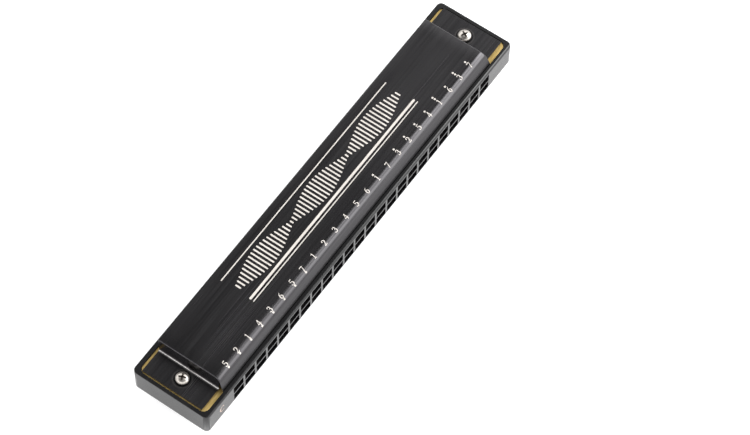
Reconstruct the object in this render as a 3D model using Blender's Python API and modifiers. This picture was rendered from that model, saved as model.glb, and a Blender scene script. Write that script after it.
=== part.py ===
"""A tremolo harmonica with 24 columns and two rows of holes, built as its separate pieces.

Metres, +Z up. X runs along the instrument with the low notes at -X, and the mouth side faces -Y. The origin
is under the middle of the instrument, in the plane of the lower cover's flat face, which it rests on.
Heights named ..._Z are measured from the middle of the comb, outwards to either side.
"""

import math

import bmesh
import bpy
from mathutils import Matrix

MM = 0.001

# Columns and notes
COLUMNS = 24
PITCH = 6.5 * MM

# Comb: the moulded body with its air chambers
COMB_LENGTH = 185.2 * MM
COMB_WIDTH = 32.0 * MM
COMB_HEIGHT = 10.8 * MM
COMB_CORNER = 2.0 * MM
COMB_EDGE = 0.3 * MM
MOUTH_EDGE = 1.0 * MM
MOUTH_EDGE_STEPS = 5
RECESS_LENGTH = 182.4 * MM
RECESS_WIDTH = 28.4 * MM
RECESS_CORNER = 2.4 * MM
RECESS_FLOOR_Z = 4.1 * MM
PARTITION = 1.0 * MM
DIVIDER = 0.66 * MM
HOLE_TOP_Z = 4.2 * MM
CHAMBER_BEHIND_PAD = 0.6 * MM

# Reed plates
PLATE_LENGTH = 182.0 * MM
PLATE_WIDTH = 28.1 * MM
PLATE_CORNER = 2.2 * MM
PLATE_INNER_Z = 4.2 * MM
PLATE_THICK = 0.8 * MM
PLATE_OUTER_Z = PLATE_INNER_Z + PLATE_THICK
PIN_COUNT = 6
PIN_SPACING = 30.0 * MM
PIN_Y = 12.6 * MM
PIN_RADIUS = 0.9 * MM
PIN_HEAD = 0.25 * MM

# Reeds: each tongue swings through a slot in its plate
REED_LONGEST = 16.0 * MM
REED_SHORTEST = 8.5 * MM
REED_WIDEST = 2.3 * MM
REED_NARROWEST = 1.9 * MM
REED_THICK = 0.22 * MM
REED_OFFSET = 0.08 * MM
SLOT_FRONT_Y = -11.0 * MM
SLOT_SIDE_GAP = 0.2 * MM
SLOT_END_GAP = 0.25 * MM
PAD_LENGTH = 2.6 * MM
PAD_THICK = 0.3 * MM
PAD_EXTRA_WIDTH = 0.5 * MM
RIVET_RADIUS = 0.75 * MM
RIVET_HEAD = 0.3 * MM
RIVET_SIDES = 8

# Covers: pressed from one sheet each
SHEET = 0.35 * MM
COVER_BASE_Z = 5.1 * MM
COVER_TOP_Z = 11.1 * MM
COVER_HALF_BASE = 81.0 * MM
COVER_HALF_TOP = 80.2 * MM
COVER_REAR_Y = 13.9 * MM
COVER_BEND_Y = -9.9 * MM
COVER_BEND_RADIUS = 3.3 * MM
COVER_BEND_TURN = math.radians(75)
COVER_BEND_STEPS = 8
END_WALL_FRONT_Y = -12.1 * MM
REAR_LIP = 0.9 * MM
FLANGE_END = 90.6 * MM
FLANGE_FRONT_Y = -12.3 * MM
FLANGE_REAR_Y = 13.1 * MM
FLANGE_CORNER = 0.9 * MM

# Cover screws
SCREW_X = 85.1 * MM
SCREW_SEAT_Z = 5.55 * MM
HEAD_RADIUS = 2.5 * MM
HEAD_RIM = 0.55 * MM
HEAD_HEIGHT = 1.7 * MM
HEAD_DOME_STEPS = 4
SHANK_RADIUS = 1.0 * MM
SHANK_LENGTH = 3.4 * MM
SHANK_TIP = 0.6 * MM
CROSS_WIDTH = 0.7 * MM
CROSS_LENGTH = 2.8 * MM
CROSS_DEPTH = 1.0 * MM
SCREW_HOLE_RADIUS = 1.2 * MM
SCREW_SEGMENTS = 20

MIDDLE_Z = COVER_TOP_Z
BEYOND = 1.0 * MM
SINK = 0.1 * MM


def clear_scene():
    for thing in list(bpy.data.objects):
        bpy.data.objects.remove(thing)


def collection(name):
    made = bpy.data.collections.new(name)
    bpy.context.scene.collection.children.link(made)
    return made


def material(name, colour, roughness, metallic):
    made = bpy.data.materials.new(name)
    made.use_nodes = True
    shader = made.node_tree.nodes["Principled BSDF"]
    shader.inputs["Base Color"].default_value = (*colour, 1.0)
    shader.inputs["Roughness"].default_value = roughness
    shader.inputs["Metallic"].default_value = metallic
    return made


def comb_plastic():
    return material("comb_plastic", (0.018, 0.018, 0.02), 0.42, 0.0)


def plate_brass():
    return material("plate_brass", (0.78, 0.57, 0.2), 0.3, 1.0)


def reed_brass():
    return material("reed_brass", (0.84, 0.66, 0.3), 0.24, 1.0)


def cover_metal():
    return material("cover_metal", (0.035, 0.034, 0.036), 0.34, 1.0)


def screw_nickel():
    return material("screw_nickel", (0.78, 0.75, 0.7), 0.25, 1.0)


# ---------------------------------------------------------------- geometry helpers


def mesh_object(name, bm, where, location=(0, 0, 0)):
    bmesh.ops.recalc_face_normals(bm, faces=bm.faces)
    mesh = bpy.data.meshes.new(name)
    bm.to_mesh(mesh)
    bm.free()
    made = bpy.data.objects.new(name, mesh)
    made.location = location
    where.objects.link(made)
    return made


def as_cutter(made):
    made.hide_render = True
    made.display_type = "WIRE"
    return made


def add_box(bm, low, high):
    size = [h - l for l, h in zip(low, high)]
    middle = [(h + l) / 2 for l, h in zip(low, high)]
    place = Matrix.Translation(middle) @ Matrix.Diagonal((*size, 1.0))
    return bmesh.ops.create_cube(bm, size=1.0, matrix=place)["verts"]


def add_disc(bm, centre, radius, depth, sides):
    bmesh.ops.create_cone(
        bm,
        cap_ends=True,
        segments=sides,
        radius1=radius,
        radius2=radius,
        depth=depth,
        matrix=Matrix.Translation(centre),
    )


def upright_edges(bm):
    """The edges that run along Z."""
    return [e for e in bm.edges if abs(e.verts[0].co.z - e.verts[1].co.z) > 1e-6]


def round_corners(bm, radius, segments):
    bmesh.ops.bevel(
        bm, geom=upright_edges(bm), offset=radius, segments=segments, profile=0.5, affect="EDGES"
    )


def slab(length, width, corner, z_a, z_b):
    """A plate with rounded corners, centred on the origin in X and Y, between two heights."""
    bm = bmesh.new()
    low, high = min(z_a, z_b), max(z_a, z_b)
    add_box(bm, (-length / 2, -width / 2, low), (length / 2, width / 2, high))
    round_corners(bm, corner, 4)
    return bm


def boolean(target, other, operation):
    modifier = target.modifiers.new(f"{operation.lower()}_{other.name}", "BOOLEAN")
    modifier.object = other
    modifier.operation = operation


def finished_mesh(made):
    """The object's mesh with its modifiers in it."""
    bpy.context.view_layer.update()
    return bpy.data.meshes.new_from_object(made.evaluated_get(bpy.context.evaluated_depsgraph_get()))


def smooth(mesh):
    mesh.shade_smooth()
    mesh.set_sharp_from_angle(angle=math.radians(35))


# ---------------------------------------------------------------- layout of the columns


def column_x(column):
    return (column - (COLUMNS - 1) / 2) * PITCH


def along(column, first, last):
    """A size that runs evenly from the first column to the last."""
    return first + (last - first) * column / (COLUMNS - 1)


def reed_length(column):
    return along(column, REED_LONGEST, REED_SHORTEST)


def reed_width(column):
    return along(column, REED_WIDEST, REED_NARROWEST)


def slot_rear_y(column):
    return SLOT_FRONT_Y + reed_length(column) + 2 * SLOT_END_GAP


def is_blow(column):
    """Blow reeds sit on the chamber side of a plate, draw reeds on its outer side, in turn."""
    return column % 2 == 0


# ---------------------------------------------------------------- comb


def comb_body(parts):
    bm = bmesh.new()
    half = (COMB_LENGTH / 2, COMB_WIDTH / 2, COMB_HEIGHT / 2)
    add_box(bm, [-h for h in half], half)
    round_corners(bm, COMB_CORNER, 5)
    rims = [
        e for e in bm.edges
        if abs(e.verts[0].co.z - e.verts[1].co.z) < 1e-6 and len(e.link_faces) == 2
    ]
    bmesh.ops.bevel(bm, geom=rims, offset=COMB_EDGE, segments=2, profile=0.5, affect="EDGES")
    return mesh_object("comb", bm, parts, (0, 0, MIDDLE_Z))


def mouth_edge_cutter(cutters):
    """What is taken off the comb's two long edges on the mouth side to round them."""
    bm = bmesh.new()
    front, top, reach = -COMB_WIDTH / 2, COMB_HEIGHT / 2, COMB_LENGTH / 2 + BEYOND
    profile = [(front - BEYOND, top - MOUTH_EDGE)]
    for step in range(MOUTH_EDGE_STEPS + 1):
        turn = math.radians(90 * step / MOUTH_EDGE_STEPS)
        profile.append(
            (front + MOUTH_EDGE * (1 - math.cos(turn)), top - MOUTH_EDGE * (1 - math.sin(turn)))
        )
    profile += [(front + MOUTH_EDGE, top + BEYOND), (front - BEYOND, top + BEYOND)]
    for side in (1, -1):
        ends = [[bm.verts.new((x, y, side * z)) for y, z in profile] for x in (-reach, reach)]
        for end in ends:
            bm.faces.new(end)
        for i in range(len(profile)):
            j = (i + 1) % len(profile)
            bm.faces.new((ends[0][i], ends[0][j], ends[1][j], ends[1][i]))
    return as_cutter(mesh_object("mouth_edge_cutter", bm, cutters, (0, 0, MIDDLE_Z)))


def recess_cutter(cutters, side):
    bm = slab(
        RECESS_LENGTH, RECESS_WIDTH, RECESS_CORNER, side * RECESS_FLOOR_Z, side * (COMB_HEIGHT / 2 + BEYOND)
    )
    return as_cutter(mesh_object("recess_cutter", bm, cutters, (0, 0, MIDDLE_Z)))


def chamber_cutter(cutters):
    """Both rows of chambers, each open to the mouth side and to its reed plate."""
    bm = bmesh.new()
    half_width = (PITCH - PARTITION) / 2
    for column in range(COLUMNS):
        x = column_x(column)
        rear = slot_rear_y(column) + PAD_LENGTH + CHAMBER_BEHIND_PAD
        for side in (1, -1):
            heights = sorted((side * DIVIDER / 2, side * HOLE_TOP_Z))
            low = (x - half_width, -COMB_WIDTH / 2 - BEYOND, heights[0])
            add_box(bm, low, (x + half_width, rear, heights[1]))
    return as_cutter(mesh_object("chamber_cutter", bm, cutters, (0, 0, MIDDLE_Z)))


def screw_hole_cutter(cutters):
    bm = bmesh.new()
    for x in (-SCREW_X, SCREW_X):
        add_disc(bm, (x, 0, 0), SCREW_HOLE_RADIUS, 2 * COVER_TOP_Z, SCREW_SEGMENTS)
    return as_cutter(mesh_object("screw_hole_cutter", bm, cutters, (0, 0, MIDDLE_Z)))


def build_comb(parts, cutters, screw_holes):
    comb = comb_body(parts)
    boolean(comb, mouth_edge_cutter(cutters), "DIFFERENCE")
    for side in (1, -1):
        boolean(comb, recess_cutter(cutters, side), "DIFFERENCE")
    boolean(comb, chamber_cutter(cutters), "DIFFERENCE")
    boolean(comb, screw_holes, "DIFFERENCE")
    comb.data.materials.append(comb_plastic())


# ---------------------------------------------------------------- reed plates


def slot_cutter(cutters, side):
    bm = bmesh.new()
    for column in range(COLUMNS):
        x = column_x(column)
        half = reed_width(column) / 2 + SLOT_SIDE_GAP
        heights = sorted((side * (PLATE_INNER_Z - BEYOND), side * (PLATE_OUTER_Z + BEYOND)))
        low = (x - half, SLOT_FRONT_Y, heights[0])
        add_box(bm, low, (x + half, slot_rear_y(column), heights[1]))
    return as_cutter(mesh_object("slot_cutter", bm, cutters, (0, 0, MIDDLE_Z)))


def pad_span_y(column):
    """Where a reed's riveted root lies: behind the slot for a blow reed, before it for a draw reed."""
    if is_blow(column):
        front = slot_rear_y(column)
    else:
        front = SLOT_FRONT_Y - PAD_LENGTH
    return front, front + PAD_LENGTH


def pad_adder(cutters, side):
    bm = bmesh.new()
    for column in range(COLUMNS):
        x = column_x(column)
        half = (reed_width(column) + PAD_EXTRA_WIDTH) / 2
        if is_blow(column):
            span = (PLATE_INNER_Z - PAD_THICK, PLATE_INNER_Z + SINK)
        else:
            span = (PLATE_OUTER_Z - SINK, PLATE_OUTER_Z + PAD_THICK)
        heights = sorted(side * z for z in span)
        front, rear = pad_span_y(column)
        add_box(bm, (x - half, front, heights[0]), (x + half, rear, heights[1]))
    return as_cutter(mesh_object("pad_adder", bm, cutters, (0, 0, MIDDLE_Z)))


def rivet_adder(cutters, side):
    """A rivet through each pad and the plate, with a head on both sides, and the pins that hold the plate."""
    bm = bmesh.new()
    for column in range(COLUMNS):
        inner = PLATE_INNER_Z - RIVET_HEAD - (PAD_THICK if is_blow(column) else 0)
        outer = PLATE_OUTER_Z + RIVET_HEAD + (0 if is_blow(column) else PAD_THICK)
        centre = (column_x(column), sum(pad_span_y(column)) / 2, side * (inner + outer) / 2)
        add_disc(bm, centre, RIVET_RADIUS, outer - inner, RIVET_SIDES)
    for pin in range(PIN_COUNT):
        x = (pin - (PIN_COUNT - 1) / 2) * PIN_SPACING
        middle = side * (PLATE_OUTER_Z + PIN_HEAD / 2 - SINK / 2)
        add_disc(bm, (x, PIN_Y, middle), PIN_RADIUS, PIN_HEAD + SINK, RIVET_SIDES)
    return as_cutter(mesh_object("rivet_adder", bm, cutters, (0, 0, MIDDLE_Z)))


def build_reed_plate(name, side, brass, parts, cutters, screw_holes):
    bm = slab(PLATE_LENGTH, PLATE_WIDTH, PLATE_CORNER, side * PLATE_INNER_Z, side * PLATE_OUTER_Z)
    plate = mesh_object(name, bm, parts, (0, 0, MIDDLE_Z))
    boolean(plate, slot_cutter(cutters, side), "DIFFERENCE")
    boolean(plate, screw_holes, "DIFFERENCE")
    boolean(plate, pad_adder(cutters, side), "UNION")
    boolean(plate, rivet_adder(cutters, side), "UNION")
    plate.data.materials.append(brass)


# ---------------------------------------------------------------- reeds


def build_reed(name, column, side, brass, parts):
    """A reed's free tongue, with its origin on the line it bends about."""
    length = reed_length(column)
    half = reed_width(column) / 2
    if is_blow(column):
        root_y = slot_rear_y(column) - SLOT_END_GAP
        reach = (-length, 0)
        middle = PLATE_INNER_Z - REED_OFFSET - REED_THICK / 2
    else:
        root_y = SLOT_FRONT_Y + SLOT_END_GAP
        reach = (0, length)
        middle = PLATE_OUTER_Z + REED_OFFSET + REED_THICK / 2
    bm = bmesh.new()
    add_box(bm, (-half, reach[0], -REED_THICK / 2), (half, reach[1], REED_THICK / 2))
    reed = mesh_object(name, bm, parts, (column_x(column), root_y, MIDDLE_Z + side * middle))
    reed.data.materials.append(brass)


# ---------------------------------------------------------------- covers


def skirt(offset, bottom_z, last_turn=0.0):
    """The cover's front in (y, z), from its lower edge up the skirt and round the bend, moved inwards."""
    radius = COVER_BEND_RADIUS - offset
    centre_y, centre_z = COVER_BEND_Y, COVER_TOP_Z - COVER_BEND_RADIUS
    arc = []
    for step in range(COVER_BEND_STEPS + 1):
        turn = COVER_BEND_TURN + (last_turn - COVER_BEND_TURN) * step / COVER_BEND_STEPS
        arc.append((centre_y - radius * math.sin(turn), centre_z + radius * math.cos(turn)))
    drop = arc[0][1] - bottom_z
    foot = (arc[0][0] - drop / math.tan(COVER_BEND_TURN), bottom_z)
    return [foot, *arc]


def end_x(z, offset):
    """The cover's end walls lean in a little towards the top."""
    rise = (z - COVER_BASE_Z) / (COVER_TOP_Z - COVER_BASE_Z)
    return COVER_HALF_BASE + (COVER_HALF_TOP - COVER_HALF_BASE) * rise - offset


def lengthwise_prism(outline, offset):
    """A closed outline in (y, z) drawn out along X to the cover's two leaning ends."""
    bm = bmesh.new()
    near = bm.faces.new([bm.verts.new((-end_x(z, offset), y, z)) for y, z in outline])
    far = bmesh.ops.extrude_face_region(bm, geom=[near])["geom"]
    for v in far:
        if isinstance(v, bmesh.types.BMVert):
            v.co.x = -v.co.x
    return bm


def cover_outside(parts):
    outline = skirt(0, COVER_BASE_Z) + [(COVER_REAR_Y, COVER_TOP_Z), (COVER_REAR_Y, COVER_BASE_Z)]
    return mesh_object("upper_cover", lengthwise_prism(outline, 0), parts, (0, 0, MIDDLE_Z))


def cover_hollow(cutters):
    """The space under the cover, open below and at the rear up to the lip."""
    lip_z = COVER_TOP_Z - REAR_LIP
    beyond_y = COVER_REAR_Y + BEYOND
    outline = skirt(SHEET, COVER_BASE_Z - BEYOND) + [
        (COVER_REAR_Y - SHEET, COVER_TOP_Z - SHEET),
        (COVER_REAR_Y - SHEET, lip_z),
        (beyond_y, lip_z),
        (beyond_y, COVER_BASE_Z - BEYOND),
    ]
    return as_cutter(
        mesh_object("cover_hollow", lengthwise_prism(outline, SHEET), cutters, (0, 0, MIDDLE_Z))
    )


def end_notch(cutters):
    """Opens both ends before the end walls, so that the skirt's sheet ends free there."""
    reach = COVER_BEND_Y - END_WALL_FRONT_Y
    last_turn = math.asin(reach / (COVER_BEND_RADIUS - SHEET))
    outline = skirt(SHEET, COVER_BASE_Z - BEYOND, last_turn)
    outline.append((END_WALL_FRONT_Y, COVER_BASE_Z - BEYOND))
    return as_cutter(
        mesh_object("end_notch", lengthwise_prism(outline, -BEYOND), cutters, (0, 0, MIDDLE_Z))
    )


def flange_adder(cutters):
    bm = bmesh.new()
    inner = COVER_HALF_BASE - SHEET / 2
    for end in (-1, 1):
        ends = sorted((end * inner, end * FLANGE_END))
        low = (ends[0], FLANGE_FRONT_Y, COVER_BASE_Z)
        add_box(bm, low, (ends[1], FLANGE_REAR_Y, COVER_BASE_Z + SHEET))
    outer = [e for e in upright_edges(bm) if abs(e.verts[0].co.x) > inner + BEYOND]
    bmesh.ops.bevel(bm, geom=outer, offset=FLANGE_CORNER, segments=4, profile=0.5, affect="EDGES")
    return as_cutter(mesh_object("flange_adder", bm, cutters, (0, 0, MIDDLE_Z)))


def build_covers(parts, cutters, screw_holes):
    """Both covers are the same pressing: the lower one is the upper one turned over."""
    upper = cover_outside(parts)
    boolean(upper, cover_hollow(cutters), "DIFFERENCE")
    boolean(upper, end_notch(cutters), "DIFFERENCE")
    boolean(upper, flange_adder(cutters), "UNION")
    boolean(upper, screw_holes, "DIFFERENCE")
    mesh = finished_mesh(upper)
    upper.modifiers.clear()
    upper.data = mesh
    smooth(mesh)
    mesh.materials.clear()
    mesh.materials.append(cover_metal())
    lower = bpy.data.objects.new("lower_cover", mesh)
    lower.location = upper.location
    lower.rotation_euler = (0, math.pi, 0)
    parts.objects.link(lower)


# ---------------------------------------------------------------- screws


def screw_profile():
    """Half of the screw in (x, z) from the top of its head to its tip."""
    crown = HEAD_HEIGHT - HEAD_RIM
    points = []
    for step in range(HEAD_DOME_STEPS + 1):
        turn = math.pi / 2 * step / HEAD_DOME_STEPS
        points.append((HEAD_RADIUS * math.sin(turn), HEAD_RIM + crown * math.cos(turn)))
    points.append((HEAD_RADIUS, 0))
    points.append((SHANK_RADIUS, 0))
    points.append((SHANK_RADIUS, -SHANK_LENGTH))
    points.append((0, -SHANK_LENGTH - SHANK_TIP))
    return points


def turned(name, points, where):
    bm = bmesh.new()
    verts = [bm.verts.new((x, 0, z)) for x, z in points]
    for a, b in zip(verts, verts[1:]):
        bm.edges.new((a, b))
    mesh = bpy.data.meshes.new(name)
    bm.to_mesh(mesh)
    bm.free()
    made = bpy.data.objects.new(name, mesh)
    where.objects.link(made)
    spin = made.modifiers.new("turn", "SCREW")
    spin.steps = spin.render_steps = SCREW_SEGMENTS
    spin.use_merge_vertices = True
    spin.merge_threshold = 1e-6
    return made


def cross_cutter(cutters, name, length_x, length_y):
    bm = bmesh.new()
    low = (-length_x / 2, -length_y / 2, HEAD_HEIGHT - CROSS_DEPTH)
    add_box(bm, low, (length_x / 2, length_y / 2, HEAD_HEIGHT + BEYOND))
    return as_cutter(mesh_object(name, bm, cutters))


def screw_mesh(parts, cutters):
    pattern = turned("screw_pattern", screw_profile(), parts)
    boolean(pattern, cross_cutter(cutters, "cross_a", CROSS_LENGTH, CROSS_WIDTH), "DIFFERENCE")
    boolean(pattern, cross_cutter(cutters, "cross_b", CROSS_WIDTH, CROSS_LENGTH), "DIFFERENCE")
    mesh = finished_mesh(pattern)
    bpy.data.objects.remove(pattern)
    smooth(mesh)
    mesh.materials.clear()
    mesh.materials.append(screw_nickel())
    return mesh


def build_screws(parts, cutters):
    mesh = screw_mesh(parts, cutters)
    for row, side in (("upper", 1), ("lower", -1)):
        for end, x in (("low_end", -SCREW_X), ("high_end", SCREW_X)):
            screw = bpy.data.objects.new(f"{row}_{end}_screw", mesh)
            screw.location = (x, 0, MIDDLE_Z + side * SCREW_SEAT_Z)
            screw.rotation_euler = (0 if side > 0 else math.pi, 0, 0)
            parts.objects.link(screw)


def main():
    clear_scene()
    parts = collection("tremolo_harmonica")
    cutters = collection("cutters")
    screw_holes = screw_hole_cutter(cutters)
    build_comb(parts, cutters, screw_holes)
    brass = plate_brass()
    tongue_brass = reed_brass()
    for row, side in (("upper", 1), ("lower", -1)):
        build_reed_plate(f"{row}_reed_plate", side, brass, parts, cutters, screw_holes)
        for column in range(COLUMNS):
            build_reed(f"{row}_reed_{column + 1:02d}", column, side, tongue_brass, parts)
    build_covers(parts, cutters, screw_holes)
    build_screws(parts, cutters)


main()
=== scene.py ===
"""The looks of a black tremolo harmonica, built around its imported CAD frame."""
import math

import bmesh
import bpy
import numpy as np
from mathutils import Matrix, Vector


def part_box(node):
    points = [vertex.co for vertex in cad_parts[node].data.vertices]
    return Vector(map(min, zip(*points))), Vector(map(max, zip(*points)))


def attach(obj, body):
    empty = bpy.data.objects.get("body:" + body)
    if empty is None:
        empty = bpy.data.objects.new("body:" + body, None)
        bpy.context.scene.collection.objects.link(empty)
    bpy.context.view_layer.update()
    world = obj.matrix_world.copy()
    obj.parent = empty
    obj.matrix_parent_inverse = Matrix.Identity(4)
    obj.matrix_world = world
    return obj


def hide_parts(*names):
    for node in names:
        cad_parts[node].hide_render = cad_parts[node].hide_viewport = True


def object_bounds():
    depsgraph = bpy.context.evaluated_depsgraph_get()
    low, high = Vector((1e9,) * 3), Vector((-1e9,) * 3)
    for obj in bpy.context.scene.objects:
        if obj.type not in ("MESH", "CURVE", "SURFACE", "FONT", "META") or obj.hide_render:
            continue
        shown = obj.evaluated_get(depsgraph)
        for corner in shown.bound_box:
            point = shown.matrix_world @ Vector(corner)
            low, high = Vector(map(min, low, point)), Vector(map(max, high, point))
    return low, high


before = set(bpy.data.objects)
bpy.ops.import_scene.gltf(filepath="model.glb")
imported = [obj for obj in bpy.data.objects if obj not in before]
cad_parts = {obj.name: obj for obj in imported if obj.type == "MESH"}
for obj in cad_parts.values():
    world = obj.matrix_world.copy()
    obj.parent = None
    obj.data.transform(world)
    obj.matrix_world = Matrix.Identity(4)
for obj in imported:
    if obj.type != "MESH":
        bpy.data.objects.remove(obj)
CAD_LOW, CAD_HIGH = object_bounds()

# Shapes are made in millimetres from the comb's middle, and place() turns them into metres
MM = 0.001
TINY = 1e-4
MIDDLE = (CAD_LOW.z + CAD_HIGH.z) / 2
ENDS = ("low", "high")
ROWS = (("upper", 1), ("lower", -1))

# The cover's pressing
SHEET = 0.35
SHEET_BEVEL = 0.07
MARK_RISE = 0.02
COVER_BASE = 5.1
COVER_TOP = (CAD_HIGH.z - MIDDLE) / MM - MARK_RISE
HALF_BASE = 81.0
HALF_TOP = 80.2
REAR_Y = 13.9
REAR_LIP = 0.9
REAR_FILLET = 0.25
BEND_Y = -9.77
BEND_RADIUS = 3.1
BEND_TURN = 70
BEND_STEPS = 26
SKIRT_BELOW_BASE = 0.06
WALL_FRONT_Y = -12.1
WALL_FRONT_CLEAR = 0.03
TOP_FILLET = 0.5
FOLD_FILLET = 0.4
BESIDE_FOLD = 0.1
FLANGE_END = 90.6
HIGH_FLANGE_EXTRA = 0.3
FLANGE_Y = (-12.3, 13.1)
FLANGE_CORNER = 0.9

# The top falls away a little before each end wall
CROWN_START = 74.4
CROWN_DROP = 0.12
CROWN_POWER = 2.5
CROWN_END_SLOPE = 3
CROWN_STEPS = 8

# Cover screws
SCREW_X = 85.1
HEAD_RADIUS = 2.5
HEAD_RIM = 0.55
HEAD_HEIGHT = 1.7
HEAD_CHAMFER = 0.08
HEAD_STEPS = 14
HEAD_SEGMENTS = 48
SHANK_RADIUS = 1.0
THREAD_ROOT = 0.85
THREAD_START = 0.1
THREAD_RISE = 0.2
THREAD_PITCH = 0.42
THREAD_TURNS = 8
TIP_RADIUS = 0.3
TIP_TAPER = 0.5
TIP_LENGTH = 0.6
CROSS_LENGTH = (0.75, 1.75)
CROSS_WIDTH = (0.24, 0.33)
CROSS_DEPTH = 1.05
CROSS_ABOVE = 0.3
CROSS_TURN = {"upper_low": 22, "upper_high": 63, "lower_low": 8, "lower_high": 41}

# Note figures and the key letter
FIGURE_HEIGHT = 2.4
FIGURE_FOOT_Y = -11.4
FIGURE_PITCH = 6.4
FIGURE_CENTRE_X = -0.6
DOT_SIZE = 0.82
DOT_BELOW = 0.5
DOT_ABOVE = 0.72
DOT_PITCH = 1.0
LETTER_HEIGHT = 3.5
LETTER_FOOT = (-85.45, -1.75)
COMB_FRONT_Y = CAD_LOW.y / MM
GLYPH_CELL = (0.7, 1.0)
GLYPH_MARGIN = 0.15
OUTLINE_STEP = 0.05

# The cover's ornament: rules as (y, thickness), and a beating tone's bars
RULES = ((9.93, 0.42), (-2.4, 0.9), (-3.9, 0.38))
RULE_LENGTH = 99.0
BAR_Y = 3.75
BAR_PITCH = 1.65
BAR_WIDTH = 0.62
BAR_SHORTEST = 1.6
BAR_SWELL = 7.4
BARS_EACH_SIDE = 29
BEAT_LENGTH = 33
BEAT_POWER = 1.2

# The studio's brightness, and the angles in degrees over which each part of it sets in
HORIZON = 1.4
BAND = 3.8
BAND_RISE = (3, 22)
BAND_LIFT = 0.6
BAND_LIFT_REACH = (50, 20)
BRIGHT_AZIMUTH = -50
BRIGHT_REACH = (42, 22)
AWAY_LOSS = 0.72
AWAY_RISE = (2, 10)
AWAY_FALL = (28, 44)
CEILING = 0.2
CEILING_RISE = (33, 62)
SOFT_BOX = 7.0
BOX_AZIMUTH = -22
BOX_REACH = (29, 10)
BOX_RISE = (38, 51)
BOX_FALL = (57, 65)

FLOOR_GLOW = 0.7
FLOOR_HALF = 6.0
FLOOR_DROP = 0.0002

CAMERA_TARGET = (6.68, -15.53, 0.7)
CAMERA_DISTANCE = 1056.6
CAMERA_ELEVATION = math.radians(60.53)
CAMERA_AZIMUTH = math.radians(56.3)
CAMERA_ROLL = math.radians(-1.62)
CAMERA_LENS = 144.0
CAMERA_SENSOR = 36.0


# ---------------------------------------------------------------- materials


class Nodes:
    """Makes and links the nodes of one tree, a line each."""

    def __init__(self, tree):
        self.tree = tree

    def feed(self, socket, value):
        if isinstance(value, bpy.types.NodeSocket):
            self.tree.links.new(value, socket)
        else:
            socket.default_value = value

    def node(self, kind, **inputs):
        made = self.tree.nodes.new(kind)
        for socket, value in inputs.items():
            self.feed(made.inputs[socket.replace("_", " ")], value)
        return made

    def math(self, operation, a, b=0.0):
        made = self.tree.nodes.new("ShaderNodeMath")
        made.operation = operation
        self.feed(made.inputs[0], a)
        self.feed(made.inputs[1], b)
        return made.outputs["Value"]

    def spread(self, value, low, high, to_low=0.0, to_high=1.0, smooth=False):
        """value's range low..high stretched to to_low..to_high and held there beyond it."""
        made = self.node("ShaderNodeMapRange", Value=value, From_Min=low, From_Max=high,
                         To_Min=to_low, To_Max=to_high)
        if smooth:
            made.interpolation_type = "SMOOTHSTEP"
        return made.outputs["Result"]


class Shader(Nodes):
    """A Principled material whose patterns are laid out in the piece's own coordinates."""

    def __init__(self, name, **settings):
        self.material = bpy.data.materials.new(name)
        self.material.use_nodes = True
        super().__init__(self.material.node_tree)
        self.shader = self.tree.nodes["Principled BSDF"]
        for socket, value in settings.items():
            self.shader.inputs[socket.replace("_", " ")].default_value = value
        self.coordinates = self.node("ShaderNodeTexCoord").outputs["Object"]

    def axes(self):
        return self.node("ShaderNodeSeparateXYZ", Vector=self.coordinates).outputs

    def noise(self, per_metre, detail=2.0, rough=0.5, distortion=0.0):
        """Noise whose features are 1/per_metre long on each axis."""
        stretch = self.node("ShaderNodeMapping", Vector=self.coordinates, Scale=per_metre)
        made = self.node("ShaderNodeTexNoise", Vector=stretch.outputs["Vector"], Scale=1.0,
                         Detail=detail, Roughness=rough, Distortion=distortion)
        return made.outputs["Fac"]

    def distance(self, a, b):
        squares = self.math("ADD", self.math("POWER", a, 2.0), self.math("POWER", b, 2.0))
        return self.math("SQRT", squares)

    def blend(self, factor, low, high):
        made = self.tree.nodes.new("ShaderNodeMix")
        made.data_type = "RGBA"
        self.feed(made.inputs["Factor"], factor)
        for socket, colour in (("A", low), ("B", high)):
            target = [s for s in made.inputs if s.name == socket and s.type == "RGBA"][0]
            self.feed(target, colour if isinstance(colour, bpy.types.NodeSocket) else (*colour, 1))
        return [s for s in made.outputs if s.type == "RGBA"][0]

    def colour(self, value):
        self.feed(self.shader.inputs["Base Color"], value)

    def roughness(self, value):
        self.feed(self.shader.inputs["Roughness"], value)

    def bump(self, height, depth):
        made = self.node("ShaderNodeBump", Height=height, Distance=depth, Strength=1.0)
        self.feed(self.shader.inputs["Normal"], made.outputs["Normal"])


def rubbed_folds(s, base):
    """The dark plating is rubbed thin along the fold between each end wall and its flange, and the bright
    metal colour laid there is partly a painted highlight along the fold.
    """
    x, _, z = s.axes()
    across = s.math("SUBTRACT", s.math("ABSOLUTE", x), (HALF_BASE + 0.2) * MM)
    height = s.math("ABSOLUTE", s.math("SUBTRACT", z, MIDDLE))
    up = s.math("SUBTRACT", height, (COVER_BASE + SHEET + 0.1) * MM)
    # painted highlight, partly rubbing: the fold line takes a bright metal colour
    worn_and_lit_fold = s.spread(s.distance(across, up), 0.3 * MM, 0.5 * MM, 1.0, 0.0)
    patches = s.spread(s.noise((60.0, 900.0, 60.0), detail=3.0), 0.3, 0.6, 0.6, 1.0)
    return s.blend(s.math("MULTIPLY", worn_and_lit_fold, patches), base, (0.6, 0.58, 0.57))


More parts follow.
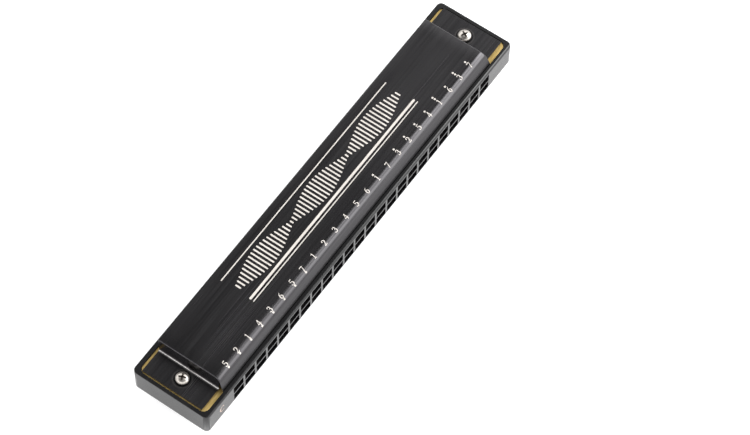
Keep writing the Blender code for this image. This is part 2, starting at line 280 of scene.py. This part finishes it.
def screw_rings(s, base):
    """Painted shade in the crease round each cover screw and, outside it, a thin painted highlight ring
    where a pressed dimple's edge would catch the light.
    """
    x, y, _ = s.axes()
    along = s.math("SUBTRACT", s.math("ABSOLUTE", x), SCREW_X * MM)
    away = s.distance(along, y)
    # painted shade: the crease round the screw head is darkened almost to black
    crease_shade = s.spread(away, 2.7 * MM, 3.15 * MM, 0.85, 0.0)
    # painted highlight: a thin lighter ring stands for the lit edge of the dimple
    off_rim = s.math("ABSOLUTE", s.math("SUBTRACT", away, 3.45 * MM))
    rim_highlight = s.spread(off_rim, 0.06 * MM, 0.2 * MM, 0.3, 0.0)
    return s.blend(rim_highlight, s.blend(crease_shade, base, (0.004, 0.004, 0.004)), (0.34, 0.32, 0.3))


def brushed_metal(name, dark, light, rough, along, fine, bump_depth, overlays=()):
    """Metal brushed along X: fine lines, longer streaks and a few brighter scratches.

    along and fine are the brush lines per metre along and across them, and each function passed in
    lays something over the brushed colour: rubbing, painted shade and painted highlights.
    """
    s = Shader(name, Metallic=1.0)
    lines = s.noise((along, fine, fine), detail=3.0, rough=0.6)
    streaks = s.noise((along * 0.4, fine * 0.14, fine * 0.14), detail=2.0)
    clouds = s.noise((16.0, 60.0, 60.0), detail=2.0)
    scratches = s.noise((along * 0.5, fine * 0.7, fine * 0.7), detail=0.0)
    tone = s.math("ADD", s.math("MULTIPLY", lines, 0.5), s.math("MULTIPLY", streaks, 0.5))
    light_share = s.math("ADD", s.spread(tone, 0.3, 0.7), s.spread(scratches, 0.74, 0.8, 0.0, 0.5))
    colour = s.blend(light_share, dark, light)
    for lay in overlays:
        colour = lay(s, colour)
    s.colour(colour)
    s.roughness(s.math("ADD", s.spread(lines, 0.3, 0.7, *rough), s.spread(clouds, 0.3, 0.7, -0.03, 0.04)))
    s.bump(lines, bump_depth)
    return s.material


def moulded_plastic(name, dark, light, rough):
    """Satin moulded plastic: a fine even grain, faint flow marks and polish that varies a little."""
    s = Shader(name, IOR=1.5)
    grain = s.noise((5200.0,) * 3, detail=2.0)
    flow = s.noise((30.0, 240.0, 240.0), detail=3.0, distortion=0.4)
    polish = s.noise((110.0,) * 3, detail=3.0)
    s.colour(s.blend(s.spread(flow, 0.3, 0.7), dark, light))
    s.roughness(s.math("ADD", s.spread(polish, 0.3, 0.7, *rough), s.spread(grain, 0.3, 0.7, -0.03, 0.03)))
    s.bump(grain, 0.000012)
    return s.material


def engraved(name, colour, shade):
    """Bare bright metal left by engraving, or a stamped foil: warm, matt and finely pitted."""
    s = Shader(name, Metallic=0.0, IOR=1.5)
    pits = s.noise((9000.0,) * 3, detail=2.0)
    overlays = s.noise((160.0,) * 3, detail=2.0)
    s.colour(s.blend(s.spread(overlays, 0.35, 0.65), shade, colour))
    s.roughness(s.spread(pits, 0.3, 0.7, 0.45, 0.65))
    s.bump(pits, 0.000008)
    return s.material


MATERIALS = {
    # cover_metal: brushed black metal with a painted highlight along each end fold and painted shade and a
    # painted highlight round each screw
    "cover_metal": brushed_metal(
        "cover_metal", (0.05, 0.048, 0.051), (0.088, 0.086, 0.089), (0.2, 0.27),
        along=22.0, fine=3000.0, bump_depth=0.0000018, overlays=(rubbed_folds, screw_rings)),
    "plate_brass": brushed_metal(
        "plate_brass", (0.31, 0.215, 0.072), (0.58, 0.43, 0.17), (0.4, 0.52),
        along=260.0, fine=1500.0, bump_depth=0.0000012),
    "reed_brass": brushed_metal(
        "reed_brass", (0.74, 0.53, 0.2), (0.9, 0.7, 0.34), (0.18, 0.3),
        along=900.0, fine=1500.0, bump_depth=0.0000015),
    "screw_nickel": brushed_metal(
        "screw_nickel", (0.43, 0.4, 0.365), (0.58, 0.55, 0.51), (0.26, 0.36),
        along=700.0, fine=1500.0, bump_depth=0.0000015),
    # painted shade with some dirt: dark brownish metal inside the screws' cross recess
    "screw_recess_shade_and_dirt": brushed_metal(
        "screw_recess_shade_and_dirt", (0.07, 0.055, 0.045), (0.16, 0.13, 0.11), (0.45, 0.6),
        along=700.0, fine=1500.0, bump_depth=0.0000015),
    "comb_plastic": moulded_plastic(
        "comb_plastic", (0.004, 0.004, 0.0044), (0.007, 0.007, 0.0074), (0.17, 0.23)),
    "engraved_mark": engraved("engraved_mark", (0.6, 0.565, 0.525), (0.53, 0.495, 0.455)),
    "stamped_letter": engraved("stamped_letter", (0.5, 0.4, 0.34), (0.4, 0.3, 0.25)),
}


# ------------------------------------------------------------------- meshes


def place(name, bm, slot, material=None, replaces=(), smooth=35):
    """Puts a finished mesh in the scene as a piece that rides on the instrument's body."""
    bmesh.ops.recalc_face_normals(bm, faces=bm.faces)
    mesh = mesh_from(bm, name)
    mesh.transform(Matrix.Translation((0, 0, MIDDLE)) @ Matrix.Scale(MM, 4))
    mesh.shade_smooth()
    mesh.set_sharp_from_angle(angle=math.radians(smooth))
    mesh.materials.append(MATERIALS[material or slot])
    piece = bpy.data.objects.new(name, mesh)
    bpy.context.scene.collection.objects.link(piece)
    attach(piece, "root")
    if replaces:
        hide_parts(*replaces)
    return piece


def mesh_from(bm, name):
    mesh = bpy.data.meshes.new(name)
    bm.to_mesh(mesh)
    bm.free()
    return mesh


def modifier(piece, kind, **settings):
    made = piece.modifiers.new(kind.title(), kind)
    for key, value in settings.items():
        setattr(made, key, value)


def turn_over(bm):
    """The lower half of the instrument is the upper one turned over about Y."""
    bmesh.ops.rotate(bm, verts=bm.verts, cent=(0, 0, 0), matrix=Matrix.Rotation(math.pi, 3, "Y"))


def arc(centre, radius, start, stop, steps):
    """Points of an arc in a plane, angles in degrees."""
    for i in range(steps + 1):
        a = math.radians(start + (stop - start) * i / steps)
        yield centre[0] + radius * math.cos(a), centre[1] + radius * math.sin(a)


# ------------------------------------------------------------------- covers


def cover_profile():
    """The outside of the pressing in (y, z), from the rear lip over the top and down the skirt."""
    points = [(REAR_Y, COVER_TOP - REAR_LIP)]
    points += arc((REAR_Y - REAR_FILLET, COVER_TOP - REAR_FILLET), REAR_FILLET, 0, 90, 4)
    points += [(REAR_Y - REAR_FILLET - BESIDE_FOLD, COVER_TOP), (BEND_Y + BESIDE_FOLD, COVER_TOP)]
    bend = list(arc((BEND_Y, COVER_TOP - BEND_RADIUS), BEND_RADIUS, 90, 90 + BEND_TURN, BEND_STEPS))
    fall = BEND_RADIUS - math.sqrt(BEND_RADIUS ** 2 - (WALL_FRONT_Y - BEND_Y) ** 2)
    points += [p for p in bend if p[0] > WALL_FRONT_Y + WALL_FRONT_CLEAR]
    points.append((WALL_FRONT_Y, COVER_TOP - fall))
    points += [p for p in bend if p[0] < WALL_FRONT_Y - WALL_FRONT_CLEAR]
    y, z = points[-1]
    run = 1 / math.tan(math.radians(BEND_TURN))
    for depth in (BESIDE_FOLD, z - COVER_BASE + SKIRT_BELOW_BASE):
        points.append((y - depth * run, z - depth))
    return points


def lean(z):
    """How far out the leaning end wall stands at a height."""
    return HALF_BASE + (HALF_TOP - HALF_BASE) * (z - COVER_BASE) / (COVER_TOP - COVER_BASE)


def crown(top_z, fillet):
    """(x, z) of the pressing's top where it falls away a little towards its end."""
    last = lean(top_z) - fillet
    for i in range(CROWN_STEPS + 1):
        share = i / CROWN_STEPS
        yield CROWN_START + (last - CROWN_START) * share, top_z - CROWN_DROP * share ** CROWN_POWER


def end_path(top_z):
    """(x, z, whether it is on the flange) down one end wall and out along its flange."""
    flange_z = COVER_BASE + SHEET
    tilt = math.degrees(math.atan((HALF_BASE - HALF_TOP) / (COVER_TOP - COVER_BASE)))
    fillet = min(TOP_FILLET, (top_z - flange_z) / 3)
    shoulder = (lean(top_z) - fillet, top_z - CROWN_DROP - fillet)
    path = [(x, z, False) for x, z in crown(top_z, fillet)]
    path += [(x, z, False) for x, z in arc(shoulder, fillet, 90 - CROWN_END_SLOPE, tilt, 6)]
    fold_x = lean(flange_z + FOLD_FILLET) + FOLD_FILLET
    fold = arc((fold_x, flange_z + FOLD_FILLET), FOLD_FILLET, 180 + tilt, 270, 5)
    path += [(x, z, True) for x, z in fold]
    path += [(fold_x + BESIDE_FOLD, flange_z, True), (FLANGE_END, flange_z, True)]
    return path


def flange_y(y):
    share = (y - WALL_FRONT_Y) / (REAR_Y - WALL_FRONT_Y)
    return FLANGE_Y[0] + (FLANGE_Y[1] - FLANGE_Y[0]) * share


def cover_rows():
    """Rows of points across one half of the pressing, one for each point of its profile."""
    for y, z in cover_profile():
        if y < WALL_FRONT_Y - TINY:
            yield [(x, y, h) for x, h in crown(z, TOP_FILLET)] + [(lean(z), y, z - CROWN_DROP)]
            continue
        row = [(x, flange_y(y) if on_flange else y, h) for x, h, on_flange in end_path(z)]
        yield row[:CROWN_STEPS + 2] if y > REAR_Y - TINY else row


def cover_sheet():
    """The outside surface: one strip from end to end, whose two ends run on into wall and flange."""
    bm = bmesh.new()
    grid = []
    for row in cover_rows():
        left = [bm.verts.new((-x, y, z)) for x, y, z in reversed(row)]
        right = [bm.verts.new((x, y, z)) for x, y, z in row]
        grid.append((left, right))
    for (left, right), (left2, right2) in zip(grid, grid[1:]):
        bm.faces.new((left[-1], right[0], right2[0], left2[-1]))
        for i in range(min(len(right), len(right2)) - 1):
            bm.faces.new((right[i], right[i + 1], right2[i + 1], right2[i]))
            bm.faces.new((left[-2 - i], left[-1 - i], left2[-1 - i], left2[-2 - i]))
    bmesh.ops.recalc_face_normals(bm, faces=bm.faces)
    if sum(f.normal.z * f.calc_area() for f in bm.faces) < 0:
        bmesh.ops.reverse_faces(bm, faces=bm.faces)
    outer = [v for v in bm.verts if abs(v.co.x) > FLANGE_END - TINY]
    corners = [v for v in outer if len(v.link_edges) == 2]
    for v in outer:
        v.co.x += HIGH_FLANGE_EXTRA if v.co.x > 0 else 0
    bmesh.ops.bevel(bm, geom=corners, offset=FLANGE_CORNER, segments=5, profile=0.5, affect="VERTICES")
    return bm


def build_cover(row, side):
    bm = cover_sheet()
    if side < 0:
        turn_over(bm)
    piece = place(f"{row}_cover_pressing", bm, "cover_metal", replaces=[f"{row}_cover"])
    modifier(piece, "SOLIDIFY", thickness=SHEET * MM, offset=-1.0, use_even_offset=True)
    modifier(piece, "BEVEL", width=SHEET_BEVEL * MM, segments=2, limit_method="ANGLE",
             angle_limit=math.radians(50), harden_normals=True)


# --------------------------------------------------------------------- comb


def node_copy(node):
    """A CAD node's mesh in millimetres from the comb's middle, with its flat faces made whole."""
    bm = bmesh.new()
    bm.from_mesh(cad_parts[node].data)
    bmesh.ops.transform(bm, verts=bm.verts,
                        matrix=Matrix.Scale(1 / MM, 4) @ Matrix.Translation((0, 0, -MIDDLE)))
    bmesh.ops.remove_doubles(bm, verts=bm.verts, dist=0.001)
    bmesh.ops.dissolve_limit(bm, verts=bm.verts, edges=bm.edges, angle_limit=math.radians(0.3))
    return bm


def true_normals(mesh, limit=35):
    """Flat faces keep their own normal to the very edge and rounded ones run smoothly into them."""
    near = math.cos(math.radians(limit))
    flat = [max(abs(c) for c in p.normal) > 0.9999 for p in mesh.polygons]
    around = [[] for _ in mesh.vertices]
    for p in mesh.polygons:
        for v in p.vertices:
            around[v].append(p)
    normals = [None] * len(mesh.loops)
    for p in mesh.polygons:
        for loop, v in zip(p.loop_indices, p.vertices):
            close = [q for q in around[v] if q.normal.dot(p.normal) > near]
            flats = [q for q in close if flat[q.index]]
            if flat[p.index]:
                normals[loop] = p.normal
            else:
                different = {tuple(round(c, 3) for c in q.normal) for q in flats[:1] or close}
                normals[loop] = sum((Vector(n) for n in different), Vector()).normalized()
    mesh.normals_split_custom_set(normals)


def build_comb():
    comb = place("comb_moulding", node_copy("comb"), "comb_plastic", replaces=["comb"])
    true_normals(comb.data)


# ------------------------------------------------------------------- screws


def lathe(bm, profile, segments):
    """A turned solid about Z from (radius, z) points, closed on its axis at both ends."""
    rings = []
    turns = [2 * math.pi * i / segments for i in range(segments)]
    for radius, z in profile:
        if radius == 0:
            rings.append([bm.verts.new((0, 0, z))])
        else:
            rings.append([bm.verts.new((radius * math.cos(t), radius * math.sin(t), z)) for t in turns])
    for a, b in zip(rings, rings[1:]):
        for i in range(segments):
            j = (i + 1) % segments
            corners = [a[i % len(a)], a[j % len(a)], b[j % len(b)], b[i % len(b)]]
            bm.faces.new(list(dict.fromkeys(corners)))


def dome_z(seat, share):
    """The head's height where share of its radius is reached."""
    return seat + HEAD_RIM + (HEAD_HEIGHT - HEAD_RIM) * math.sqrt(1 - share ** 2)


def screw_profile(seat):
    """A pan head with rounded shoulders on a threaded shank, from the crown down."""
    points = [(0, seat + HEAD_HEIGHT)]
    for i in range(1, HEAD_STEPS + 1):
        share = math.sin(math.radians(90 * i / HEAD_STEPS))
        points.append((HEAD_RADIUS * share, dome_z(seat, share)))
    points += [(HEAD_RADIUS, seat + HEAD_CHAMFER), (HEAD_RADIUS - HEAD_CHAMFER, seat), (SHANK_RADIUS, seat)]
    for i in range(THREAD_TURNS):
        z = seat - THREAD_START - THREAD_PITCH * i
        points += [(THREAD_ROOT, z), (SHANK_RADIUS, z - THREAD_RISE), (THREAD_ROOT, z - 2 * THREAD_RISE)]
    foot = seat - THREAD_START - THREAD_PITCH * THREAD_TURNS
    points += [(TIP_RADIUS, foot - TIP_TAPER), (0, foot - TIP_LENGTH)]
    return points


def cross_recess(top):
    """Two crossing wings that narrow towards the bottom."""
    bm = bmesh.new()
    for turn in (0, 90):
        wing = bmesh.ops.create_cube(bm, size=1)["verts"]
        for v in wing:
            high = v.co.z > 0
            v.co.x = math.copysign(CROSS_LENGTH[high], v.co.x)
            v.co.y = math.copysign(CROSS_WIDTH[high], v.co.y)
            v.co.z = top + CROSS_ABOVE if high else top - CROSS_DEPTH
        bmesh.ops.rotate(bm, verts=wing, cent=(0, 0, 0), matrix=Matrix.Rotation(math.radians(turn), 3, "Z"))
    return bm


def cut(bm, cutter_bm):
    """bm less cutter_bm, worked out by an exact Boolean."""
    body = bpy.data.objects.new("cut_body", mesh_from(bm, "cut_body"))
    tool = bpy.data.objects.new("cut_tool", mesh_from(cutter_bm, "cut_tool"))
    for o in (body, tool):
        bpy.context.scene.collection.objects.link(o)
    modifier(body, "BOOLEAN", operation="DIFFERENCE", solver="EXACT", use_self=True, object=tool)
    bpy.context.view_layer.update()
    result = bmesh.new()
    result.from_object(body, bpy.context.evaluated_depsgraph_get())
    for o in (body, tool):
        mesh = o.data
        bpy.data.objects.remove(o)
        bpy.data.meshes.remove(mesh)
    return result


def mark_recess(bm, seat):
    """Gives the faces inside the head's cross the piece's second, dark material: painted shade in the
    recess, with some dirt.
    """
    for face in bm.faces:
        x, y, z = face.calc_center_median()
        share = min(math.hypot(x, y) / HEAD_RADIUS, 1)
        under_dome = seat + 0.2 < z < dome_z(seat, share) - 0.04
        face.material_index = int(share < 0.75 and under_dome)


def build_screw(row, side, end):
    node = f"{row}_{end}_end_screw"
    low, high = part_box(node)
    crown_z = abs((high.z if side > 0 else low.z) - MIDDLE) / MM
    seat = crown_z - HEAD_HEIGHT
    bm = bmesh.new()
    lathe(bm, screw_profile(seat), HEAD_SEGMENTS)
    bm = cut(bm, cross_recess(crown_z))
    mark_recess(bm, seat)
    turn = math.radians(CROSS_TURN[f"{row}_{end}"])
    bmesh.ops.rotate(bm, verts=bm.verts, cent=(0, 0, 0), matrix=Matrix.Rotation(turn, 3, "Z"))
    if side < 0:
        turn_over(bm)
    bmesh.ops.translate(bm, verts=bm.verts, vec=((low.x + high.x) / 2 / MM, (low.y + high.y) / 2 / MM, 0))
    piece = place(f"{node}_turned", bm, "screw_nickel", replaces=[node], smooth=30)
    # the second material paints shade, with some dirt, inside the cross recess
    piece.data.materials.append(MATERIALS["screw_recess_shade_and_dirt"])
    modifier(piece, "BEVEL", width=0.035 * MM, segments=2, limit_method="ANGLE",
             angle_limit=math.radians(45), harden_normals=True)


# -------------------------------------------------------------------- marks


def swing(cx, cy, rx, ry, start, stop, thin, thick, steps=14):
    """A curved pen stroke: thin at the top and bottom, thick at the sides, as in a roman face."""
    stroke = []
    for i in range(steps + 1):
        a = math.radians(start + (stop - start) * i / steps)
        width = thin + (thick - thin) * abs(math.cos(a)) ** 1.5
        stroke.append((cx + rx * math.cos(a), cy + ry * math.sin(a), width))
    return stroke


# Each glyph is a set of pen strokes on a unit-high cell: points with the pen's half width
GLYPHS = {
    "1": [[(0.3, 0.04, 0.075), (0.3, 0.94, 0.075)],
          [(0.12, 0.03, 0.032), (0.48, 0.03, 0.032)],
          [(0.3, 0.93, 0.06), (0.1, 0.83, 0.028)]],
    "2": [[(0.1, 0.72, 0.065)] + swing(0.28, 0.71, 0.2, 0.25, 165, -35, 0.04, 0.085)
          + [(0.3, 0.35, 0.05), (0.08, 0.08, 0.035)],
          [(0.06, 0.07, 0.065), (0.46, 0.07, 0.065), (0.54, 0.22, 0.025)]],
    "3": [swing(0.26, 0.74, 0.18, 0.22, 160, -70, 0.035, 0.08),
          swing(0.25, 0.29, 0.23, 0.26, 80, -150, 0.035, 0.085),
          [(0.08, 0.12, 0.06), (0.1, 0.14, 0.06)],
          [(0.18, 0.54, 0.03), (0.32, 0.54, 0.03)]],
    "4": [[(0.39, 0.03, 0.075), (0.39, 0.94, 0.075)],
          [(0.37, 0.95, 0.035), (0.04, 0.31, 0.035)],
          [(0.03, 0.29, 0.05), (0.56, 0.29, 0.05)]],
    "5": [[(0.15, 0.92, 0.06), (0.46, 0.94, 0.07)],
          [(0.14, 0.93, 0.035), (0.09, 0.56, 0.035)],
          swing(0.22, 0.32, 0.25, 0.28, 118, -140, 0.04, 0.085),
          [(0.06, 0.12, 0.05), (0.08, 0.13, 0.05)]],
    "6": [swing(0.29, 0.3, 0.2, 0.27, 0, 360, 0.035, 0.08, 24),
          [(0.48, 0.96, 0.025), (0.3, 0.86, 0.045), (0.16, 0.68, 0.07), (0.09, 0.45, 0.08),
           (0.09, 0.3, 0.08)]],
    "7": [[(0.06, 0.92, 0.065), (0.5, 0.92, 0.065)],
          [(0.07, 0.93, 0.03), (0.04, 0.77, 0.022)],
          [(0.51, 0.92, 0.035), (0.34, 0.5, 0.05), (0.22, 0.04, 0.08)]],
    "C": [swing(0.38, 0.5, 0.32, 0.45, 52, 308, 0.035, 0.085, 24),
          [(0.61, 0.65, 0.02), (0.61, 0.93, 0.02)]],
}

# The numbered notes from the low end to the high end; the second value is how many dots,
# below the figure if negative and above it if positive
NOTES = [(5, -1), (2, -1), (1, -1), (4, -1), (3, -1), (6, -1), (5, -1), (7, -1),
         (1, 0), (2, 0), (3, 0), (4, 0), (5, 0), (6, 0), (1, 1), (7, 0),
         (3, 1), (2, 1), (5, 1), (4, 1), (1, 2), (6, 1), (3, 2), (7, 1)]


def pen_distance(strokes, u, v):
    """How far each point (u, v) is outside the nearest stroke."""
    best = np.full(u.shape, np.inf)
    for stroke in strokes:
        for (x0, y0, w0), (x1, y1, w1) in zip(stroke, stroke[1:]):
            dx, dy = x1 - x0, y1 - y0
            t = np.clip(((u - x0) * dx + (v - y0) * dy) / (dx * dx + dy * dy + 1e-12), 0, 1)
            gap = np.hypot(u - x0 - t * dx, v - y0 - t * dy) - (w0 + (w1 - w0) * t)
            best = np.minimum(best, gap)
    return best


def filled_outline(strokes, height):
    """Polygons that fill a glyph, in millimetres: whole cells inside, cut cells along its edge."""
    step = OUTLINE_STEP / height
    us = np.arange(-GLYPH_MARGIN, GLYPH_CELL[0] + GLYPH_MARGIN, step)
    vs = np.arange(-GLYPH_MARGIN, GLYPH_CELL[1] + GLYPH_MARGIN, step)
    d = pen_distance(strokes, *np.meshgrid(us, vs, indexing="ij"))
    points, polygons = {}, []

    def corner(a):
        points.setdefault(a, (us[a[0]] * height, vs[a[1]] * height))
        return a

    def crossing(a, b):
        key = (min(a, b), max(a, b))
        if key not in points:
            t = d[a] / (d[a] - d[b])
            points[key] = ((us[a[0]] + (us[b[0]] - us[a[0]]) * t) * height,
                           (vs[a[1]] + (vs[b[1]] - vs[a[1]]) * t) * height)
        return key

    for i in range(len(us) - 1):
        for j in range(len(vs) - 1):
            ring = [(i, j), (i + 1, j), (i + 1, j + 1), (i, j + 1)]
            polygon = []
            for a, b in zip(ring, ring[1:] + ring[:1]):
                if d[a] < 0:
                    polygon.append(corner(a))
                if (d[a] < 0) != (d[b] < 0):
                    polygon.append(crossing(a, b))
            if len(polygon) > 2:
                polygons.append(polygon)
    used = {k for p in polygons for k in p}
    return {k: p for k, p in points.items() if k in used}, polygons


def rounded_bar(width, height, steps=6):
    """An upright bar with round ends as points and one polygon, about its middle."""
    r = width / 2
    ring = list(arc((0, height / 2 - r), r, 0, 180, steps))
    ring += arc((0, r - height / 2), r, 180, 360, steps)
    return dict(enumerate(ring)), [list(range(len(ring)))]


def over_bend(x, y, rise):
    """A point of the flat artwork laid on the cover, round the bend where it reaches that far."""
    past = BEND_Y - y
    if past <= 0:
        return x, y, COVER_TOP + rise
    a = past / BEND_RADIUS
    r = BEND_RADIUS + rise
    return x, BEND_Y - r * math.sin(a), COVER_TOP - BEND_RADIUS + r * math.cos(a)


def on_front(x, y, rise):
    """A point of flat artwork on the comb's front face."""
    return x, COMB_FRONT_Y - rise, y


def add_slip(bm, points, polygons, lay, shift):
    """Flat polygons laid on a surface as one closed slip, sunk as deep as it stands proud."""
    top, foot = ({k: bm.verts.new(lay(p[0] + shift[0], p[1] + shift[1], rise)) for k, p in points.items()}
                 for rise in (MARK_RISE, -MARK_RISE))
    edges = {}
    for polygon in polygons:
        bm.faces.new([top[k] for k in polygon])
        bm.faces.new([foot[k] for k in reversed(polygon)])
        edges.update(dict.fromkeys(zip(polygon, polygon[1:] + polygon[:1])))
    for a, b in edges:
        if (b, a) not in edges:
            bm.faces.new((top[b], top[a], foot[a], foot[b]))


def build_figures():
    bm = bmesh.new()
    shapes = {k: filled_outline(v, FIGURE_HEIGHT) for k, v in GLYPHS.items() if k.isdigit()}
    dot = rounded_bar(DOT_SIZE, DOT_SIZE, steps=8)
    for n, (note, dots) in enumerate(NOTES):
        centre = FIGURE_CENTRE_X + (n - (len(NOTES) - 1) / 2) * FIGURE_PITCH
        points, polygons = shapes[str(note)]
        xs = [p[0] for p in points.values()]
        add_slip(bm, points, polygons, over_bend, (centre - (min(xs) + max(xs)) / 2, FIGURE_FOOT_Y))
        if dots < 0:
            add_slip(bm, *dot, over_bend, (centre, FIGURE_FOOT_Y - DOT_BELOW))
        for k in range(dots):
            y = FIGURE_FOOT_Y + FIGURE_HEIGHT + DOT_ABOVE + DOT_PITCH * k
            add_slip(bm, *dot, over_bend, (centre, y))
    place("upper_cover_note_marks", bm, "cover_metal", "engraved_mark")


def build_ornament(row, side):
    """Three rules and, on the upper cover, the swelling and fading bars of a beating tone."""
    bm = bmesh.new()
    for y, thickness in RULES:
        points, polygons = rounded_bar(thickness, RULE_LENGTH)
        lying = {k: (p[1], -p[0]) for k, p in points.items()}
        add_slip(bm, lying, polygons, over_bend, (0, y))
    if side > 0:
        for n in range(-BARS_EACH_SIDE, BARS_EACH_SIDE + 1):
            x = n * BAR_PITCH
            swell = abs(math.cos(math.pi * x / BEAT_LENGTH)) ** BEAT_POWER
            add_slip(bm, *rounded_bar(BAR_WIDTH, BAR_SHORTEST + BAR_SWELL * swell), over_bend, (x, BAR_Y))
    else:
        turn_over(bm)
    place(f"{row}_cover_ornament", bm, "cover_metal", "engraved_mark")


def build_key_letter():
    bm = bmesh.new()
    add_slip(bm, *filled_outline(GLYPHS["C"], LETTER_HEIGHT), on_front, LETTER_FOOT)
    place("comb_key_letter", bm, "comb_plastic", "stamped_letter")


# ---------------------------------------------------- carried-over CAD nodes


def dress_brass():
    """The reed plates and the reeds keep their CAD shapes and take the brass materials."""
    for name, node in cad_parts.items():
        if "_reed_" in name:
            slot = "plate_brass" if name.endswith("plate") else "reed_brass"
            node.data.materials.clear()
            node.data.materials.append(MATERIALS[slot])


# ------------------------------------------------- floor, light and camera


def build_floor():
    """Pale paper that glows a little, which keeps the instrument's shadow faint."""
    s = Shader("pale_floor", IOR=1.45)
    paper = s.noise((140.0,) * 3, detail=3.0)
    s.colour(s.blend(s.spread(paper, 0.3, 0.7), (0.49, 0.49, 0.495), (0.51, 0.51, 0.515)))
    s.roughness(s.spread(paper, 0.3, 0.7, 0.75, 0.85))
    s.shader.inputs["Emission Color"].default_value = (1, 1, 1, 1)
    s.shader.inputs["Emission Strength"].default_value = FLOOR_GLOW
    mesh = bpy.data.meshes.new("floor")
    corners = [(x * FLOOR_HALF, y * FLOOR_HALF, 0) for x, y in ((-1, -1), (1, -1), (1, 1), (-1, 1))]
    mesh.from_pydata(corners, [], [(0, 1, 2, 3)])
    mesh.materials.append(s.material)
    floor = bpy.data.objects.new("floor", mesh)
    floor.location.z = CAD_LOW.z - FLOOR_DROP
    bpy.context.scene.collection.objects.link(floor)


class Sky(Nodes):
    """The world's background, whose strength is worked out from the direction looked in."""

    def __init__(self):
        world = bpy.data.worlds.new("studio")
        bpy.context.scene.world = world
        world.use_nodes = True
        super().__init__(world.node_tree)
        self.background = self.tree.nodes["Background"]
        self.background.inputs["Color"].default_value = (1, 1, 1, 1)
        direction = self.node("ShaderNodeTexCoord").outputs["Generated"]
        self.x, self.y, self.z = self.node("ShaderNodeSeparateXYZ", Vector=direction).outputs

    def by_height(self, angles, low=0.0, high=1.0):
        """low up to the first elevation, high from the second one on."""
        start, stop = (math.sin(math.radians(a)) for a in angles)
        return self.spread(self.z, start, stop, low, high, smooth=True)

    def by_heading(self, azimuth, angles, far=0.0, near=1.0):
        """far beyond the first angle from an azimuth, near within the second one."""
        a = math.radians(azimuth)
        dot = self.math("ADD", self.math("MULTIPLY", self.x, math.cos(a)),
                        self.math("MULTIPLY", self.y, math.sin(a)))
        level = self.math("SQRT", self.math("SUBTRACT", 1.0, self.math("MULTIPLY", self.z, self.z)))
        towards = self.math("DIVIDE", dot, self.math("MAXIMUM", level, 0.001))
        start, stop = (math.cos(math.radians(a)) for a in angles)
        return self.spread(towards, start, stop, far, near, smooth=True)

    def product(self, first, *others):
        for other in others:
            first = self.math("MULTIPLY", first, other)
        return first


def build_sky():
    """An even pale surround, brightest on one side, a dark ceiling and one broad soft light."""
    sky = Sky()
    band = sky.by_height(BAND_RISE, HORIZON, BAND)
    lift = sky.by_heading(BOX_AZIMUTH, BAND_LIFT_REACH, 1.0, 1.0 + BAND_LIFT)
    away = sky.by_heading(BRIGHT_AZIMUTH, BRIGHT_REACH, AWAY_LOSS, 0.0)
    loss = sky.product(away, sky.by_height(AWAY_RISE), sky.by_height(AWAY_FALL, 1.0, 0.0))
    above = sky.by_height(CEILING_RISE)
    surround = sky.product(band, sky.math("SUBTRACT", 1.0, loss), lift, sky.math("SUBTRACT", 1.0, above))
    box = sky.product(sky.by_heading(BOX_AZIMUTH, BOX_REACH), sky.by_height(BOX_RISE),
                      sky.by_height(BOX_FALL, 1.0, 0.0), SOFT_BOX)
    dome = sky.math("ADD", surround, sky.product(above, CEILING))
    sky.feed(sky.background.inputs["Strength"], sky.math("ADD", dome, box))


def build_camera():
    """The camera looks down from the low end's side, a little ahead of it."""
    level = math.cos(CAMERA_ELEVATION)
    back = Vector((-level * math.sin(CAMERA_AZIMUTH), -level * math.cos(CAMERA_AZIMUTH),
                   math.sin(CAMERA_ELEVATION)))
    across = (-back).cross(Vector((0, 0, 1))).normalized()
    down = (-back).cross(across)
    right = across * math.cos(CAMERA_ROLL) + down * math.sin(CAMERA_ROLL)
    turn = Matrix((right, back.cross(right), back)).transposed().to_4x4()
    data = bpy.data.cameras.new("camera")
    data.lens = CAMERA_LENS
    data.sensor_width = CAMERA_SENSOR
    data.clip_start = 0.05
    data.clip_end = 20.0
    camera = bpy.data.objects.new("camera", data)
    spot = (Vector(CAMERA_TARGET) + back * CAMERA_DISTANCE) * MM + Vector((0, 0, MIDDLE))
    camera.matrix_world = Matrix.Translation(spot) @ turn
    bpy.context.scene.collection.objects.link(camera)
    bpy.context.scene.camera = camera


for row_name, row_side in ROWS:
    build_cover(row_name, row_side)
build_comb()
for row_name, row_side in ROWS:
    for end_name in ENDS:
        build_screw(row_name, row_side, end_name)
build_figures()
for row_name, row_side in ROWS:
    build_ornament(row_name, row_side)
build_key_letter()
dress_brass()
build_floor()
build_sky()
build_camera()
bpy.context.scene.view_settings.view_transform = "Standard"
